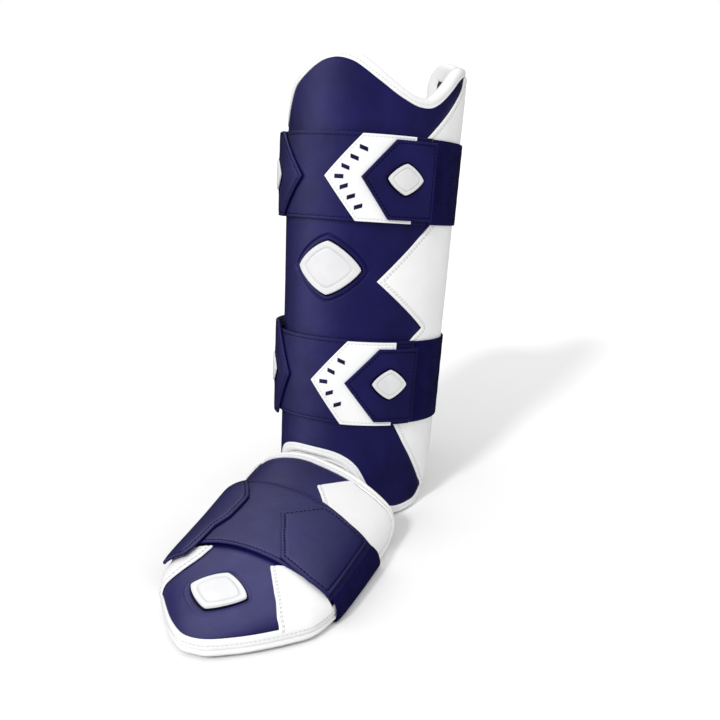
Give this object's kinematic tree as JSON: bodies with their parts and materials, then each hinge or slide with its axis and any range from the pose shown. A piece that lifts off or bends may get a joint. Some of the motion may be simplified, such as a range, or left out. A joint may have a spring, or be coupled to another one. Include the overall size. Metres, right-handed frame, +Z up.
{
  "type": "batters leg guard",
  "caption": "Padded leg guard with elastic straps round the shin and a flexibly joined padded guard over the foot, standing upright.",
  "frame": {"origin": "centre of the footprint box on the floor plane", "axes": "+Z up along the standing guard, -Y towards the toe, +X towards the outer side of the leg"},
  "size_m": [0.1618, 0.454, 0.4038],
  "materials": {
    "padded_shell": "satin synthetic leather over foam",
    "strap_band": "satin synthetic leather",
    "strap_tab": "satin synthetic leather, stitched",
    "elastic": "woven elastic webbing",
    "white_panel": "smooth synthetic leather",
    "binding": "smooth folded binding",
    "moulded_badge": "smooth moulded rubber",
    "lining": "knitted lining"
  },
  "bodies": {
    "root": {"shin_shell": "padded_shell", "shin_lining": "lining", "shin_binding_top": "binding", "shin_binding_flap": "binding", "shin_binding_outer": "binding", "shin_binding_outer_lobe": "binding", "shin_binding_inner_lobe": "binding", "shin_binding_inner": "binding", "shin_panel_outer": "white_panel", "shin_panel_inner": "white_panel", "shin_badge": "moulded_badge", "upper_band": "strap_band", "upper_elastic": "elastic", "lower_band": "strap_band", "lower_elastic": "elastic", "upper_tab_backing": "white_panel", "lower_tab_backing": "white_panel", "upper_tab_outer": "strap_tab", "lower_tab_outer": "strap_tab", "upper_tab_inner": "strap_tab", "lower_tab_inner": "strap_tab", "upper_badge_outer": "moulded_badge", "lower_badge_outer": "moulded_badge", "upper_badge_inner": "moulded_badge", "lower_badge_inner": "moulded_badge", "foot_shell": "padded_shell", "foot_binding": "binding", "foot_panel_toe_outer": "white_panel", "foot_panel_toe_inner": "white_panel", "foot_panel_ankle_outer": "white_panel", "foot_panel_ankle_inner": "white_panel", "foot_band": "strap_band", "foot_tab_outer": "strap_tab", "foot_tab_inner": "strap_tab", "foot_elastic": "elastic", "foot_badge": "moulded_badge", "ankle_gusset": "white_panel"}
  },
  "joints": []
}
